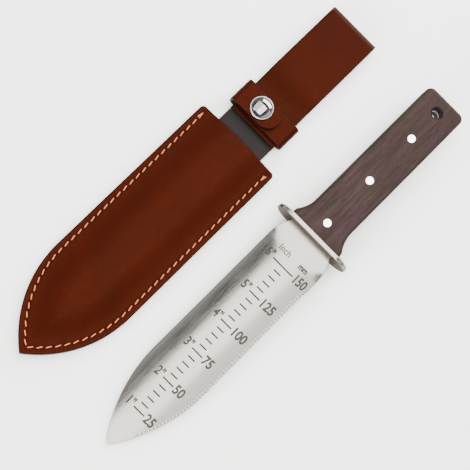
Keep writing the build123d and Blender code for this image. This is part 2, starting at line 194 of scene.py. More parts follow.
def make_piece(name, verts, faces, materials, indices=None, sharp=40.0, edge=None):
    """A smooth mesh object with its materials, its face normals outward and an edge value."""
    mesh = bpy.data.meshes.new(name)
    mesh.from_pydata([tuple(v) for v in verts], [], [tuple(f) for f in faces])
    for material in materials:
        mesh.materials.append(material)
    if indices is not None:
        mesh.polygons.foreach_set("material_index", np.asarray(indices, np.int32))
    if edge is not None:
        layer = mesh.attributes.new("edge", "FLOAT", "POINT")
        layer.data.foreach_set("value", np.asarray(edge, np.float32))
    made = bmesh.new()
    made.from_mesh(mesh)
    bmesh.ops.remove_doubles(made, verts=made.verts, dist=2e-6)
    bmesh.ops.dissolve_degenerate(made, edges=made.edges, dist=1e-7)
    bmesh.ops.recalc_face_normals(made, faces=made.faces)
    made.to_mesh(mesh)
    made.free()
    mesh.shade_smooth()
    mesh.set_sharp_from_angle(angle=math.radians(sharp))
    return add_object(name, mesh)


def grid_faces(rows, columns, start=0, wrap=False):
    """Quads between rows of points, each row holding the same number of columns."""
    faces = []
    across = columns if wrap else columns - 1
    for row in range(rows - 1):
        for column in range(across):
            beside = (column + 1) % columns
            faces.append((start + row * columns + column, start + row * columns + beside,
                          start + (row + 1) * columns + beside,
                          start + (row + 1) * columns + column))
    return faces


def smooth_step(share):
    """Eases from 0 to 1 as the share goes from 0 to 1."""
    share = np.clip(share, 0, 1)
    return share * share * (3 - 2 * share)


def round_off(distance, radius):
    """How far a rounded edge has dropped at a distance in from the side."""
    inward = np.clip(distance, 0, radius)
    return radius - np.sqrt(np.maximum(radius**2 - (radius - inward) ** 2, 0))


def cut_away(piece, cutter, material_mode="INDEX"):
    """Takes the cutter's shape out of the piece, and the cutter out of the scene."""
    cut = piece.modifiers.new("cut", "BOOLEAN")
    cut.operation, cut.solver, cut.object = "DIFFERENCE", "MANIFOLD", cutter
    cut.material_mode = material_mode
    depsgraph = bpy.context.evaluated_depsgraph_get()
    mesh = bpy.data.meshes.new_from_object(piece.evaluated_get(depsgraph))
    piece.modifiers.clear()
    mesh.shade_smooth()
    mesh.set_sharp_from_angle(angle=math.radians(SHARP_CUT))
    piece.data = mesh
    bpy.data.objects.remove(cutter)


# ------------------------------------------------------------------ material helpers
class Shader:
    """A small builder for one material's nodes."""

    def __init__(self, name):
        self.material = bpy.data.materials.new(name)
        self.material.use_nodes = True
        self.tree = self.material.node_tree
        self.surface = self.tree.nodes["Principled BSDF"]

    def node(self, kind, **values):
        """A new node of a kind, with its settings."""
        made = self.tree.nodes.new(kind)
        for key, value in values.items():
            setattr(made, key, value)
        return made

    def link(self, output, socket):
        self.tree.links.new(output, socket)

    def set(self, **values):
        """Values that are the same all over the surface."""
        for key, value in values.items():
            self.surface.inputs[key.replace("_", " ")].default_value = value

    def place(self, stretch):
        """Object coordinates, stretched so that 1 unit is 1/stretch metres on each axis."""
        coordinates = self.node("ShaderNodeTexCoord")
        mapping = self.node("ShaderNodeMapping")
        mapping.inputs["Scale"].default_value = stretch
        self.link(coordinates.outputs["Object"], mapping.inputs["Vector"])
        return mapping.outputs["Vector"]

    def noise(self, stretch, detail=3.0, rough=0.55, distort=0.0):
        noise = self.node("ShaderNodeTexNoise")
        noise.inputs["Scale"].default_value = 1.0
        noise.inputs["Detail"].default_value = detail
        noise.inputs["Roughness"].default_value = rough
        noise.inputs["Distortion"].default_value = distort
        self.link(self.place(stretch), noise.inputs["Vector"])
        return noise.outputs["Fac"]

    def cells(self, stretch):
        """Distance to the border of the nearest cell."""
        cells = self.node("ShaderNodeTexVoronoi", feature="DISTANCE_TO_EDGE")
        cells.inputs["Scale"].default_value = 1.0
        self.link(self.place(stretch), cells.inputs["Vector"])
        return cells.outputs["Distance"]

    def span(self, value, low, high, to_low, to_high):
        """The value's span from low to high, stretched to another span and held at its ends."""
        ranged = self.node("ShaderNodeMapRange")
        for key, number in zip(("From Min", "From Max", "To Min", "To Max"),
                               (low, high, to_low, to_high)):
            ranged.inputs[key].default_value = number
        self.link(value, ranged.inputs["Value"])
        return ranged.outputs["Result"]

    def mix(self, share, first, second):
        """The second colour over the first, by its share."""
        mixed = self.node("ShaderNodeMix", data_type="RGBA")
        for socket, value in ((mixed.inputs[6], first), (mixed.inputs[7], second),
                              (mixed.inputs[0], share)):
            if isinstance(value, bpy.types.NodeSocket):
                self.link(value, socket)
            elif isinstance(value, float):
                socket.default_value = value
            else:
                socket.default_value = (*value, 1.0)
        return mixed.outputs[2]

    def sum(self, first, second, how="ADD"):
        added = self.node("ShaderNodeMath", operation=how)
        for socket, value in zip(added.inputs, (first, second)):
            if isinstance(value, bpy.types.NodeSocket):
                self.link(value, socket)
            else:
                socket.default_value = value
        return added.outputs[0]

    def facing(self, direction):
        """How squarely the surface looks along a fixed direction, either way."""
        geometry = self.node("ShaderNodeNewGeometry")
        dot = self.node("ShaderNodeVectorMath", operation="DOT_PRODUCT")
        dot.inputs[1].default_value = direction
        self.link(geometry.outputs["Normal"], dot.inputs[0])
        return self.sum(dot.outputs["Value"], 0.0, "ABSOLUTE")

    def attribute(self, name):
        """A value that the mesh holds at its points."""
        found = self.node("ShaderNodeAttribute", attribute_name=name)
        return found.outputs["Fac"]

    def bump(self, height, distance, strength):
        bump = self.node("ShaderNodeBump")
        bump.inputs["Distance"].default_value = distance
        bump.inputs["Strength"].default_value = strength
        self.link(height, bump.inputs["Height"])
        return bump.outputs["Normal"]

    def use(self, **sockets):
        """Links outputs to the surface's sockets of the same names."""
        for key, output in sockets.items():
            self.link(output, self.surface.inputs[key.replace("_", " ")])


def brushed_steel(name, colour, rough, brush, sheen=0.05, face=None):
    """Steel brushed along one axis: brush is the noise stretch, fine across the strokes.

    face gives a direction and how dark the flats that look that way are painted, as painted
    shade.
    """
    shader = Shader(name)
    shader.set(Metallic=1.0)
    strokes = shader.noise(brush, detail=4.0, rough=0.7)
    stains = shader.noise((38, 38, 38), detail=4.0)
    tone = shader.mix(shader.span(strokes, 0.3, 0.7, 0.0, 1.0), [c * 0.9 for c in colour],
                      [min(c * 1.06, 1) for c in colour])
    tone = shader.mix(shader.span(stains, 0.45, 0.75, 0.0, 0.35), tone,
                      [c * 0.86 for c in colour])
    # Painted shade: the steel is darkened where the edge value rises, along the blade's sides.
    edge_shade = shader.span(shader.attribute("edge"), 0.0, 1.0, 0.0, 0.75)
    tone = shader.mix(edge_shade, tone, [c * 0.35 for c in colour])
    if face:
        direction, shade_darkness = face
        shader.set(Specular_Tint=(0.42, 0.39, 0.36, 1.0))
        # Painted shade: flats that look along the given direction are darkened.
        tone = shader.mix(shader.span(shader.facing(direction), 0.7, 0.97, 0.0, 1.0), tone,
                          [c * shade_darkness for c in colour])
    roughness = shader.sum(shader.span(strokes, 0.25, 0.75, rough - sheen, rough + sheen),
                           shader.span(stains, 0.35, 0.7, 0.0, 0.05))
    shader.use(Base_Color=tone, Roughness=roughness,
               Normal=shader.bump(strokes, 0.00002, 0.15))
    return shader.material


def etched_steel(colour):
    """The darkened, matt floor of the engraved scale."""
    shader = Shader("etched_steel")
    shader.set(Metallic=0.4)
    grain = shader.noise((2600, 2600, 2600), detail=2.0)
    shader.use(Base_Color=shader.mix(grain, [c * 0.7 for c in colour],
                                     [c * 1.5 for c in colour]),
               Roughness=shader.span(grain, 0.3, 0.7, 0.5, 0.75))
    return shader.material


def polished_metal(name, colour, rough, rim=1.0):
    """Bright plated or polished metal with faint handling marks; a low rim darkens its sides."""
    shader = Shader(name)
    shader.set(Metallic=1.0, Specular_Tint=(rim, rim, rim, 1.0))
    marks = shader.noise((900, 900, 900), detail=5.0, rough=0.7)
    shader.use(Base_Color=shader.mix(shader.span(marks, 0.45, 0.75, 0.0, 0.4), colour,
                                     [c * 0.92 for c in colour]),
               Roughness=shader.span(marks, 0.3, 0.75, rough * 0.85, rough * 1.25))
    return shader.material


def dark_wood(wood, dark):
    """Oiled dark hardwood: long streaks, fine pores and painted shade round the rounded edges.
    """
    shader = Shader("handle_wood")
    shader.set(Specular_IOR_Level=0.1, Specular_Tint=(1.0, 0.86, 0.8, 1.0))
    streaks = shader.noise((34, 620, 340), detail=6.0, rough=0.66, distort=0.25)
    bands = shader.noise((9, 120, 70), detail=3.0, distort=0.6)
    pores = shader.noise((210, 3600, 3600), detail=3.0, rough=0.7)
    patches = shader.noise((30, 60, 60), detail=2.0)
    purple = [wood[0] * 1.16, wood[1] * 1.0, wood[2] * 1.16]
    olive = [wood[0] * 0.9, wood[1] * 0.92, wood[2] * 0.72]
    tone = shader.mix(shader.span(patches, 0.36, 0.66, 0.0, 1.0), purple, olive)
    tone = shader.mix(shader.span(bands, 0.42, 0.68, 0.0, 0.4), tone, dark)
    tone = shader.mix(shader.span(streaks, 0.44, 0.7, 0.0, 0.8), tone, dark)
    tone = shader.mix(shader.span(streaks, 0.44, 0.3, 0.0, 0.45), tone,
                      [c * 1.6 for c in wood])
    tone = shader.mix(shader.span(pores, 0.55, 0.68, 0.0, 0.85), tone,
                      [c * 0.45 for c in dark])
    # Painted shade: the wood darkens where its surface turns away from the knife's up direction.
    tone = shader.mix(shader.span(shader.facing(KNIFE_UP), 0.93, 0.55, 0.0, 0.75), tone,
                      [c * 0.8 for c in dark])
    height = shader.sum(shader.span(pores, 0.55, 0.7, 0.0, -1.0),
                        shader.span(streaks, 0.3, 0.7, 0.0, -0.35))
    shader.use(Base_Color=tone, Roughness=shader.span(streaks, 0.3, 0.7, 0.42, 0.58),
               Normal=shader.bump(height, 0.00008, 0.7))
    return shader.material


def grain_leather(name, grain, burnished, gloss=0.42):
    """Smooth finished leather, with dark burnished edges where the edge value rises."""
    shader = Shader(name)
    shader.set(Specular_IOR_Level=0.09, Specular_Tint=(1.0, 0.36, 0.2, 1.0))
    clouds = shader.noise((32, 32, 32), detail=4.0, rough=0.6, distort=0.4)
    pores = shader.cells((1500, 1500, 1500))
    wrinkles = shader.noise((420, 420, 420), detail=5.0, rough=0.6)
    light = [c * 1.12 for c in grain]
    deep = [grain[0] * 0.8, grain[1] * 0.82, grain[2] * 0.85]
    tone = shader.mix(shader.span(clouds, 0.34, 0.68, 0.0, 1.0), deep, light)
    tone = shader.mix(shader.span(wrinkles, 0.35, 0.7, 0.0, 0.3), tone, deep)
    edge_burnish_and_shade = shader.sum(shader.attribute("edge"),
                      shader.span(clouds, 0.3, 0.7, -0.12, 0.12))
    tone = shader.mix(shader.span(edge_burnish_and_shade, 0.08, 0.95, 0.0, 1.0), tone, burnished)
    height = shader.sum(shader.span(pores, 0.0, 0.35, 0.0, 1.0),
                        shader.span(wrinkles, 0.3, 0.7, 0.0, 0.8))
    shader.use(Base_Color=tone,
               Roughness=shader.span(wrinkles, 0.3, 0.7, gloss - 0.06, gloss + 0.08),
               Normal=shader.bump(height, 0.00005, 0.35))
    return shader.material


def flesh_leather(colour):
    """The black, slightly fibrous inner side of the leather."""
    shader = Shader("leather_flesh")
    shader.set(Specular_IOR_Level=0.25)
    fibres = shader.noise((900, 900, 900), detail=5.0, rough=0.7)
    shader.use(Base_Color=shader.mix(shader.span(fibres, 0.35, 0.7, 0.0, 1.0), colour,
                                     [c * 2.6 for c in colour]),
               Roughness=shader.span(fibres, 0.3, 0.7, 0.68, 0.85),
               Normal=shader.bump(fibres, 0.00012, 0.6))
    return shader.material


def waxed_thread(colour):
    """Waxed sewing thread with fine fibres."""
    shader = Shader("waxed_thread")
    shader.set(Specular_IOR_Level=0.45, Sheen_Weight=0.25)
    fibres = shader.noise((5200, 5200, 5200), detail=3.0)
    shader.use(Base_Color=shader.mix(shader.span(fibres, 0.35, 0.7, 0.0, 1.0),
                                     [c * 0.72 for c in colour],
                                     [min(c * 1.18, 1) for c in colour]),
               Roughness=shader.span(fibres, 0.3, 0.7, 0.48, 0.66),
               Normal=shader.bump(fibres, 0.00004, 0.5))
    return shader.material


def material_named(name, maker, *values, **more):
    """A material that several operators share, made the first time it's asked for."""
    return bpy.data.materials.get(name) or maker(*values, **more)


def sheath_leather(sheath):
    return material_named("leather_grain", grain_leather, "leather_grain",
                          list(sheath.grain), list(sheath.burnished))


def sheath_flesh(sheath):
    return material_named("leather_flesh", flesh_leather, list(sheath.flesh))


def cut_edge(sheath):
    return material_named("leather_edge", grain_leather, "leather_edge",
                          [c * 1.5 for c in sheath.burnished], list(sheath.burnished), 0.5)


# ------------------------------------------------------------------ blade
TIP_RADIUS = 1.3 * MM
TIP_CUT = 1.25 * MM
BEVEL_WIDTH, BEVEL_FROM, BEVEL_FADE = 3.0 * MM, 24 * MM, 8 * MM
# The last width on the line below is how far the painted edge shade reaches in from the blade's
# sides.
EDGE_LAND, EDGE_ROUND, EDGE_SHADE_WIDTH = 0.12, 0.25 * MM, 0.6 * MM
GRIND_WIDTH, GRIND_DEPTH = 1.7 * MM, 0.9
LANYARD_TO_BUTT = 10.7 * MM
LANYARD_RADIUS, PIN_HOLE_RADIUS = 3.3 * MM, 2.62 * MM
TANG_CORNER = 4.5 * MM


class BladeShape:
    """The outline and the hollow face of the blade, in the knife's own axes."""

    TROUGH_FULL = -22.0 * MM
    TROUGH_FLAT = -6.0 * MM
    TEETH_FROM_TIP = 14.0 * MM
    TEETH_TO_GUARD = 27.0 * MM

    def __init__(self, blade):
        self.half = blade.width / 2
        self.neck = blade.neck / 2
        self.length = blade.length
        self.steel = blade.steel
        self.tip = -blade.length
        self.bow_start = blade.point - blade.length
        self.bow = (blade.point**2 + self.half**2) / blade.width
        self.shoulder = blade.shoulder
        drop = self.half - self.neck
        self.shoulder_radius = (blade.shoulder**2 + drop**2) / (2 * drop)
        self.trough_radius = (self.half**2 + blade.trough**2) / (2 * blade.trough)
        self.tooth, self.tooth_depth = blade.tooth, blade.tooth_depth

    def half_width(self, x):
        """Half of the blade's width at x, on its plain side."""
        bow = np.sqrt(np.maximum(self.bow**2 - np.minimum(x - self.bow_start, 0) ** 2, 0))
        width = self.half - self.bow + bow
        into = np.maximum(x + self.shoulder, 0)
        drop = self.shoulder_radius - np.sqrt(self.shoulder_radius**2 - into**2)
        return np.maximum(width - drop, 0.0)

    def blunt_tip(self, x):
        """Half of the width that the rounded end of the point leaves at x."""
        into = min(max(x - self.tip - TIP_CUT, 0), TIP_RADIUS)
        return math.sqrt(2 * TIP_RADIUS * into - into**2) if into < TIP_RADIUS else self.half

    def teeth(self, x):
        """How deep the serrations cut into the other side at x."""
        first, last = self.tip + self.TEETH_FROM_TIP, -self.TEETH_TO_GUARD
        wave = 0.5 - 0.5 * np.cos(2 * math.pi * (x - first) / self.tooth)
        ends = smooth_step((x - first) / self.tooth) * smooth_step((last - x) / self.tooth)
        return self.tooth_depth * wave**0.6 * ends

    def face(self, x, y):
        """Height of the hollow face above the middle of the steel."""
        fade = 1 - smooth_step((x - self.TROUGH_FULL) / (self.TROUGH_FLAT - self.TROUGH_FULL))
        radius = self.trough_radius
        dish = radius - np.sqrt(np.maximum(radius**2 - y**2, 0))
        return self.steel / 2 + fade * dish


def blade_body(shape):
    """Points, faces and edge values of the blade, tip to guard, as one closed skin."""
    start = shape.tip + TIP_CUT
    bow_stations = start + (shape.bow_start - start) * np.linspace(0, 1, 231) ** 1.15
    run_stations = np.linspace(shape.bow_start, 0.0, 420)[1:]
    stations = np.concatenate([bow_stations, run_stations])
    shares = np.sin(np.linspace(-0.5, 0.5, 57) * math.pi)
    rows, edge_burnish_and_shade = [], []
    for x in stations:
        plain = float(min(shape.half_width(x), shape.blunt_tip(x)))
        gullet = float(shape.teeth(x)) * min(1.0, plain / (8 * MM))
        toothed = plain - gullet
        y = np.where(shares > 0, shares * plain, shares * toothed)
        top = shape.face(x, y)
        inward = np.minimum(plain - y, toothed + y)
        sharp = smooth_step((-x - BEVEL_FROM) / BEVEL_FADE)
        bevel = 1 - np.clip(inward / BEVEL_WIDTH, 0, 1)
        thick = shape.steel * (1 - sharp * (1 - EDGE_LAND) * bevel)
        grind = GRIND_DEPTH * gullet * np.clip(1 - (toothed + y) / GRIND_WIDTH, 0, 1)
        top = top - round_off(inward, EDGE_ROUND) * (1 - EDGE_LAND) - grind
        under = np.minimum(shape.face(x, y) - thick, top - 0.1 * MM)
        # Painted shade: values that darken the steel in a narrow band along both sides.
        edge_burnish_and_shade.append(np.concatenate([1 - smooth_step(inward / EDGE_SHADE_WIDTH)] * 2))
        rows.append(np.concatenate([np.column_stack([np.full_like(y, x), y, top]),
                                    np.column_stack([np.full_like(y, x), y, under])[::-1]]))
    loop = 2 * len(shares)
    verts = np.concatenate(rows)
    faces = grid_faces(len(stations), loop, wrap=True)
    faces.append(tuple(range(loop))[::-1])
    last = (len(stations) - 1) * loop
    faces.append(tuple(range(last, last + loop)))
    return verts, faces, np.concatenate(edge_burnish_and_shade)


class ScaleCutter:
    """Prisms that engrave the ruled lines, numbers and unit names in the hollow face."""

    ZERO_FROM_TIP = 3.2 * MM
    INCH_SPACING = 25
    LAST_INCH = 6
    DEPTH, ABOVE = 0.1 * MM, 0.6 * MM
    LINE_WIDTH, LINE_STEP = 1.1 * MM, 1.5 * MM
    LAST_LENGTH, LONG_LENGTH, SHORT_LENGTH = 17.0 * MM, 9.0 * MM, 5.7 * MM

    def __init__(self, shape):
        self.shape = shape
        self.zero = shape.tip + self.ZERO_FROM_TIP
        self.made = bmesh.new()

    def cutter(self, material):
        """The whole scale as one object."""
        last = self.LAST_INCH * self.INCH_SPACING
        for mark in range(self.INCH_SPACING, last + 1, 5):
            on_inch = mark % self.INCH_SPACING == 0
            length = self.LONG_LENGTH if on_inch else self.SHORT_LENGTH
            self.line(self.zero + mark * MM, self.LAST_LENGTH if mark == last else length)
        for inch in range(1, self.LAST_INCH + 1):
            self.numbers(inch)
        self.words("Inch", -16.4 * MM, 6.0 * MM, 6.2 * MM, 0.09 * MM, 0.9, "CENTER")
        self.words("mm", -16.8 * MM, -10.0 * MM, 5.4 * MM, 0.3 * MM, 0.8, "CENTER")
        bmesh.ops.remove_doubles(self.made, verts=self.made.verts, dist=4e-6)
        bmesh.ops.recalc_face_normals(self.made, faces=self.made.faces)
        mesh = mesh_from(self.made, "scale_cutter")
        mesh.materials.append(material)
        return add_object("scale_cutter", mesh)

    def press(self, flat, rise):
        """Moves the flat marks' lower side under the face and the upper side above it."""
        for vert in flat:
            height = float(self.shape.face(vert.co.x, vert.co.y))
            vert.co.z = height + (self.ABOVE if vert.co.z > rise else -self.DEPTH)

    def line(self, at, length):
        """A ruled line across the blade, bent to the hollow face."""
        new_vert, new_face = self.made.verts.new, self.made.faces.new
        steps = max(2, round(length / self.LINE_STEP))
        verts = []
        for step in range(steps + 1):
            y = -length / 2 + step * length / steps
            verts.append([new_vert((at + dx, y, z)) for z in (0, 1)
                          for dx in (-self.LINE_WIDTH / 2, self.LINE_WIDTH / 2)])
        for a, b in zip(verts, verts[1:]):
            for first, second in ((0, 1), (1, 3), (3, 2), (2, 0)):
                new_face((a[first], a[second], b[second], b[first]))
        start, end = verts[0], verts[-1]
        new_face((start[0], start[2], start[3], start[1]))
        new_face((end[0], end[1], end[3], end[2]))
        self.press([v for ring in verts for v in ring], 0.5)

    def numbers(self, inch):
        """The inch and millimetre numbers beside one long line."""
        middle = self.zero + inch * self.INCH_SPACING * MM
        last = inch == self.LAST_INCH
        beside = (9.2 if last else 5.2) * MM
        self.words(f'{inch}"', middle + 0.8 * MM, beside, 8.4 * MM, 0.26 * MM, 0.8, "RIGHT")
        self.words(str(inch * self.INCH_SPACING), middle, -beside, 8.8 * MM, 0.3 * MM,
                   0.74 if last else 0.84, "LEFT")

    def words(self, text, at, across, size, bold, squeeze, align):
        """Text that reads across the blade, from +Y to -Y, with its tops towards the guard."""
        curve = bpy.data.curves.new("numerals", "FONT")
        curve.body, curve.size, curve.offset = text, size, bold
        curve.extrude, curve.resolution_u = 0.5, 4
        curve.align_x, curve.align_y = align, "CENTER"
        writer = add_object("numerals", curve)
        bpy.context.view_layer.update()
        flat = bpy.data.meshes.new_from_object(writer)
        turned = Matrix(((0, 1, 0, at), (-squeeze, 0, 0, across), (0, 0, 1, 0), (0, 0, 0, 1)))
        flat.transform(turned)
        before = len(self.made.verts)
        self.made.from_mesh(flat)
        self.made.verts.ensure_lookup_table()
        self.press(self.made.verts[before:], 0.0)
        bpy.data.objects.remove(writer)
        bpy.data.meshes.remove(flat)


class HORI_OT_blade(Operator):
    """Build the dished, toothed and engraved blade with its tang"""

    bl_idname = "hori.blade"
    bl_label = "Blade"

    def execute(self, context):
        blade = context.scene.hori_blade
        shape = BladeShape(blade)
        steel = brushed_steel("blade_steel", list(blade.colour), 0.2, (60, 1500, 60))
        etched = etched_steel(list(blade.etched))
        verts, faces, edge_burnish_and_shade = blade_body(shape)
        piece = make_piece("blade_hollow", verts, faces, [steel], sharp=SHARP_CUT, edge=edge_burnish_and_shade)
        cut_away(piece, ScaleCutter(shape).cutter(etched), "TRANSFER")
        piece.data.transform(KNIFE_PLACE)
        tang = self.tang(blade, steel)
        for part in (piece, tang):
            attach(part, "knife")
            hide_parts("blade")
        return {"FINISHED"}

    def tang(self, blade, steel):
        """The full tang between the wooden scales, pierced for the pins and the lanyard."""
        hole = Vector(MOUNTS["lanyard_hole"]["pos_m"])
        butt = (hole - KNIFE_ORIGIN).dot(KNIFE_ALONG) + LANYARD_TO_BUTT
        half = TANG_WIDTH / 2
        turn = np.radians(np.linspace(0, 90, 9))
        arc = np.stack([butt - TANG_CORNER + TANG_CORNER * np.sin(turn),
                        TANG_CORNER * np.cos(turn) + half - TANG_CORNER], -1)
        rings = [np.concatenate([[(0.0, half)], arc, arc[::-1] * (1, -1), [(0.0, -half)]])]
        spots = [(butt - LANYARD_TO_BUTT, LANYARD_RADIUS)]
        for place in PIN_PLACES:
            low, high = box_of(f"handle_pin_{place}")
            along = (Vector((low + high) / 2) - KNIFE_ORIGIN).dot(KNIFE_ALONG)
            spots.append((along, PIN_HOLE_RADIUS))
        circle = np.linspace(0, 2 * math.pi, 40, endpoint=False)
        for x, radius in spots:
            rings.append(np.stack([x + radius * np.cos(circle), radius * np.sin(circle)], -1))
        curve = bpy.data.curves.new("tang", "CURVE")
        curve.dimensions, curve.fill_mode, curve.extrude = "2D", "BOTH", blade.steel / 2
        for points in rings:
            spline = curve.splines.new("POLY")
            spline.points.add(len(points) - 1)
            spline.points.foreach_set("co", np.column_stack(
                [points, np.zeros(len(points)), np.ones(len(points))]).reshape(-1))
            spline.use_cyclic_u = True
        drawn = add_object("tang_outline", curve)
        bpy.context.view_layer.update()
        mesh = bpy.data.meshes.new_from_object(drawn)
        bpy.data.objects.remove(drawn)
        mesh.materials.clear()
        mesh.materials.append(steel)
        mesh.transform(KNIFE_PLACE)
        return add_object("tang", mesh)


# ------------------------------------------------------------------ handle and guard
def repaint(names, material):
    """Gives the frame's own nodes a finished material."""
    for name in names:
        mesh = frame["nodes"][name].data
        mesh.materials.clear()
        mesh.materials.append(material)


class HORI_OT_guard(Operator):
    """Finish the flat steel guard, brushed across its faces"""

    bl_idname = "hori.guard"
    bl_label = "Guard"

    BRIGHTER_THAN_BLADE = 1.1
    # The guard's faces that look along the knife are painted darker, a painted shade.
    SHADED_FACES = (KNIFE_ALONG, 0.4)

    def execute(self, context):
        colour = [c * self.BRIGHTER_THAN_BLADE for c in context.scene.hori_blade.colour]
        repaint(["guard"], brushed_steel("guard_steel", colour, 0.24, (1500, 40, 1500),
                                         face=self.SHADED_FACES))
        return {"FINISHED"}


class HORI_OT_handle(Operator):
    """Finish the two wooden scales and the bright pins that hold them"""

    bl_idname = "hori.handle"
    bl_label = "Handle"

    def execute(self, context):
        handle = context.scene.hori_handle
        repaint(["handle_scale_top", "handle_scale_bottom"],
                dark_wood(list(handle.wood), list(handle.dark_grain)))
        repaint([f"handle_pin_{place}" for place in PIN_PLACES],
                polished_metal("pin_metal", list(handle.pin), 0.34))
        return {"FINISHED"}


# ------------------------------------------------------------------ pocket of the sheath
POCKET_TOP = WELT_HIGH[2]
MOUTH_CORNER = 3.0 * MM
SWELL_FROM, SWELL_TO = 5.0 * MM, 25.0 * MM
SWELL_RISE = FRONT_HIGH[2] - POCKET_TOP - LEATHER
GROOVE_DEPTH = 0.7 * MM
INSETS = [0, 0.05, 0.14, 0.28, 0.5, 0.8, 1.2, 1.8, 2.6, 3.2, 3.5, 3.65, 3.8, 4.0, 4.2, 4.4,
          4.6, 4.75, 4.9, 5.2, 5.7, 6.4, 7.2, 8.0, 9, 10, 11, 12, 13, 14, 15, 16, 17, 18.5,
          20, 22, 24, 26, 28, 30, 31.8]


class PocketShape:
    """The pocket's outline, followed from the mouth down one side, round the tip and back."""

    def __init__(self, sheath):
        half, mouth = POCKET_HALF, MOUTH_X
        tip = mouth - POCKET_LENGTH
        self.shoulder = shoulder = tip + sheath.point
        self.radius = radius = (sheath.point**2 + half**2) / (2 * half)
        self.seam = sheath.seam
        near = np.array([0, 0.05, 0.14, 0.3, 0.55, 0.9, 1.4, 2.0, 2.6, 3.0]) * MM
        run = np.concatenate([mouth - near, np.linspace(mouth - 5 * MM, shoulder, 62)])
        turn = np.linspace(0, math.acos((radius - half) / radius), 74)[1:]
        x = np.concatenate([run, shoulder - radius * np.sin(turn)])
        y = np.concatenate([np.full_like(run, half), half - radius + radius * np.cos(turn)])
        inward_x = np.concatenate([np.zeros_like(run), np.sin(turn)])
        inward_y = np.concatenate([np.full_like(run, -1.0), -np.cos(turn)])
        y[-1] = 0.0
        past = np.clip(x - (mouth - MOUTH_CORNER), 0, MOUTH_CORNER)
        cut = MOUTH_CORNER - np.sqrt(MOUTH_CORNER**2 - past**2)
        other = slice(-2, None, -1)
        self.x = np.concatenate([x, x[other]])
        self.y = np.concatenate([y, -y[other]])
        self.inward_x = np.concatenate([inward_x, inward_x[other]])
        self.inward_y = np.concatenate([inward_y, -inward_y[other]])
        self.cut = np.concatenate([cut, cut[other]])
        self.limit = np.abs(self.y) / np.abs(self.inward_y)

    def rows(self, insets):
        """x, y, true inset and distance from the cut edge for each inset and outline place."""
        inset = np.clip(np.array(insets)[:, None] * MM, self.cut, self.limit)
        x = self.x + inset * self.inward_x
        y = self.y + inset * self.inward_y
        return x, y, inset, np.minimum(inset - self.cut, MOUTH_X - x)

    def seam_places(self, pitch, from_mouth):
        """Middle and heading of each stitch on the +Y side, from the mouth to the tip."""
        half, radius = POCKET_HALF - self.seam, self.radius - self.seam
        start = MOUTH_X - from_mouth
        run = start - self.shoulder
        reach = math.acos((self.radius - POCKET_HALF) / radius)
        length = run + radius * reach
        count = round(length / pitch)
        places = []
        for number in range(count):
            along = (number + 0.5) * length / count
            turn = max(along - run, 0) / radius
            x = start - min(along, run) - radius * math.sin(turn)
            y = half - radius + radius * math.cos(turn)
            places.append((x, y, math.pi + turn))
        return places


def pocket_skin(name, shape, insets, top, bottom, materials):
    """A closed leather layer over the pocket's outline, between two height functions."""
    x, y, inset, edge = shape.rows(insets)
    count, columns = x.shape
    high, low = top(x, y, inset, edge), bottom(x, y, inset, edge)
    upper = np.stack([x, y + SHEATH_Y, high], -1)[::-1]
    lower = np.stack([x, y + SHEATH_Y, low], -1)
    verts = np.concatenate([upper, lower]).reshape(-1, 3)
    faces = grid_faces(2 * count, columns)
    kind = np.repeat([0] * (count - 1) + [2] + [1] * (count - 1), columns - 1).tolist()
    for column in (0, columns - 1):
        for row in range(count - 1):
            a, b = row, row + 1
            c, d = 2 * count - 2 - row, 2 * count - 1 - row
            faces.append(tuple(r * columns + column for r in (a, b, c, d)))
            kind.append(2)
    stops_short = insets[-1] * MM < POCKET_HALF - 1 * MM
    if stops_short:
        for column in range(columns - 1):
            last = (2 * count - 1) * columns
            faces.append((column, column + 1, last + column + 1, last + column))
            kind.append(1)
    edge_burnish_and_shade = 1 - smooth_step(edge / (1.1 * MM))
    edge_burnish_and_shade = np.concatenate([edge_burnish_and_shade[::-1], edge_burnish_and_shade]).reshape(-1)
    used, kept = drop_collapsed(verts, faces, kind)
    return make_piece(name, verts, used, materials, kept, edge=edge_burnish_and_shade)


def drop_collapsed(verts, faces, kind):
    """Leaves out the faces whose corners fall on one line or point."""
    used, kept = [], []
    for face, index in zip(faces, kind):
        ring = []
        for corner in face:
            if all(np.abs(verts[corner] - verts[other]).max() > 3e-6 for other in ring):
                ring.append(corner)
        if len(ring) > 2:
            used.append(tuple(ring))
            kept.append(index)
    return used, kept


def soft_wave(x, y):
    """The slight unevenness of hand-cut leather."""
    return (0.10 * np.sin(x / 0.017 + 0.8) * np.cos(y / 0.013)
            + 0.06 * np.sin(x / 0.0071 + y / 0.009)) * MM


class HORI_OT_front_panel(Operator):
    """Build the front of the pocket, swelling over the blade between its seams"""

    bl_idname = "hori.front_panel"
    bl_label = "Front panel"

    def execute(self, context):
        sheath = context.scene.hori_sheath
        shape = PocketShape(sheath)

        def swell(x, y, inset):
            raised = smooth_step((inset - SWELL_FROM) / (SWELL_TO - SWELL_FROM))
            return raised * (SWELL_RISE - 0.2 * MM + soft_wave(x, y))

        def top(x, y, inset, edge):
            dip = 0.35 * MM * np.exp(-(((inset - sheath.seam) / (0.95 * MM)) ** 2))
            return (POCKET_TOP + LEATHER + swell(x, y, inset) - dip
                    - round_off(edge, 0.6 * MM))

        def bottom(x, y, inset, edge):
            return POCKET_TOP + swell(x, y, inset) + round_off(edge, 0.45 * MM)

        piece = pocket_skin("front_leather", shape, INSETS, top, bottom,
                            [sheath_leather(sheath), sheath_flesh(sheath), cut_edge(sheath)])
        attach(piece, "sheath")
        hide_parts("front_panel")
        return {"FINISHED"}


